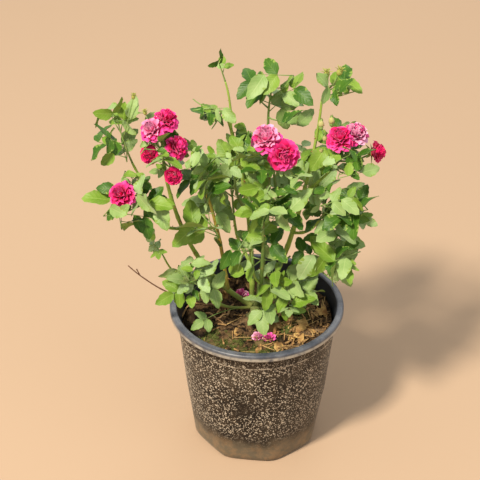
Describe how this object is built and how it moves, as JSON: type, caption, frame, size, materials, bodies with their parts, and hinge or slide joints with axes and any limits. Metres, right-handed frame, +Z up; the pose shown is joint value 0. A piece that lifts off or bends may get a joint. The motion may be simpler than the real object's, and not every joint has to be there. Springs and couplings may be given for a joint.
{
  "type": "potted rose bush",
  "caption": "Low bushy rose shrub in leaf and bloom, with many thin canes that rise from a short crown in a round tapering nursery pot filled with soil.",
  "frame": {"origin": "middle of the pot's flat underside", "axes": "+Z up, front of the plant towards -Y, +X to its right"},
  "size_m": [0.3261, 0.2227, 0.484],
  "materials": {
    "pot": "worn and dusty",
    "soil": "rough",
    "bark": "matt",
    "dry_wood": "matt",
    "foliage": "matt"
  },
  "bodies": {
    "root": {"pot": "pot", "soil": "soil", "stump": "bark", "cane_left": "bark", "bough_left_low": "bark", "bough_left_outer": "bark", "cane_inner": "bark", "cane_left_mid": "bark", "cane_upright": "bark", "bough_top_spray": "bark", "bough_centre_left": "bark", "cane_rear_left": "bark", "cane_back": "bark", "cane_rear_right": "bark", "cane_right": "bark", "bough_top_right": "bark", "bough_right_flowers": "bark", "bough_centre_flowers": "bark", "bough_right": "bark", "cane_right_low": "bark", "cane_front": "bark", "bough_centre_low": "bark", "sprout_left": "bark", "sprig_left": "bark", "sprout_centre": "bark", "dry_twig": "dry_wood", "left_outer": "foliage", "left_flowers": "foliage", "left_low": "foliage", "left_inner": "foliage", "left_mid": "foliage", "top_left": "foliage", "top_spray": "foliage", "centre_left": "foliage", "top": "foliage", "top_right": "foliage", "centre_flowers": "foliage", "right_flowers": "foliage", "right": "foliage", "centre": "foliage", "right_low": "foliage", "low_left": "foliage", "left_sprig": "foliage", "centre_low": "foliage", "low_centre": "foliage", "rear_left": "foliage", "rear_right": "foliage"}
  },
  "joints": []
}
